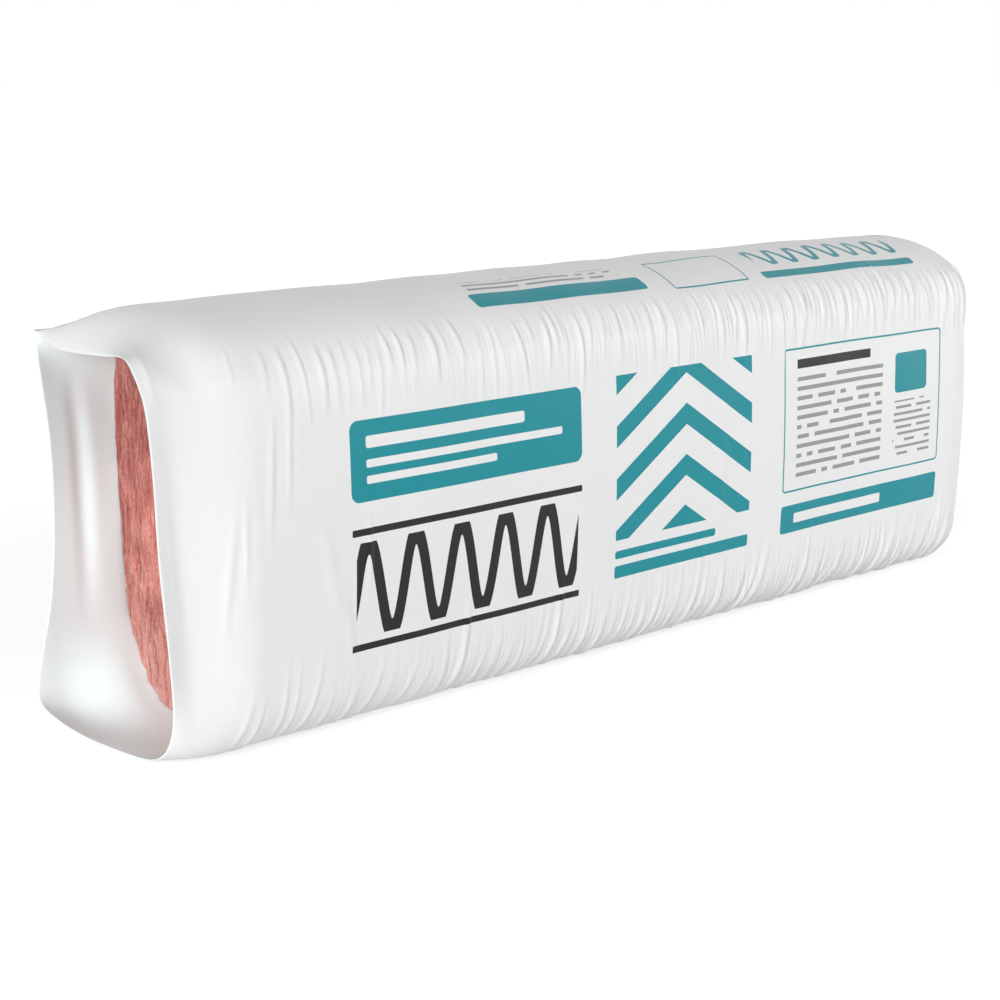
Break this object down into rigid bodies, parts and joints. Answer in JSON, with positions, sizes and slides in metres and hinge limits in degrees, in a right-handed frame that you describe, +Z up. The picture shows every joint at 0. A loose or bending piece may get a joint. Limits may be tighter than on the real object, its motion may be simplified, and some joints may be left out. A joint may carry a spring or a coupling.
{
  "type": "bag of unfaced fiberglass batts",
  "caption": "Long film bag of compressed unfaced fiberglass insulation batts lying on its side, with a loose open sleeve at one end and a rounded heat-sealed end at the other.",
  "frame": {"origin": "centre of the bag's overall box on the floor it lies on", "axes": "+X along the batts from the open mouth to the sealed end, +Y from the printed front to the back, +Z up"},
  "size_m": [1.3685, 0.245, 0.428],
  "materials": {
    "film": null,
    "glass_wool": "dull matted pink glass wool"
  },
  "bodies": {
    "root": {"film_bag": "film", "batt_1": "glass_wool", "batt_2": "glass_wool", "batt_3": "glass_wool", "batt_4": "glass_wool", "batt_5": "glass_wool", "batt_6": "glass_wool", "batt_7": "glass_wool", "batt_8": "glass_wool"}
  },
  "joints": []
}
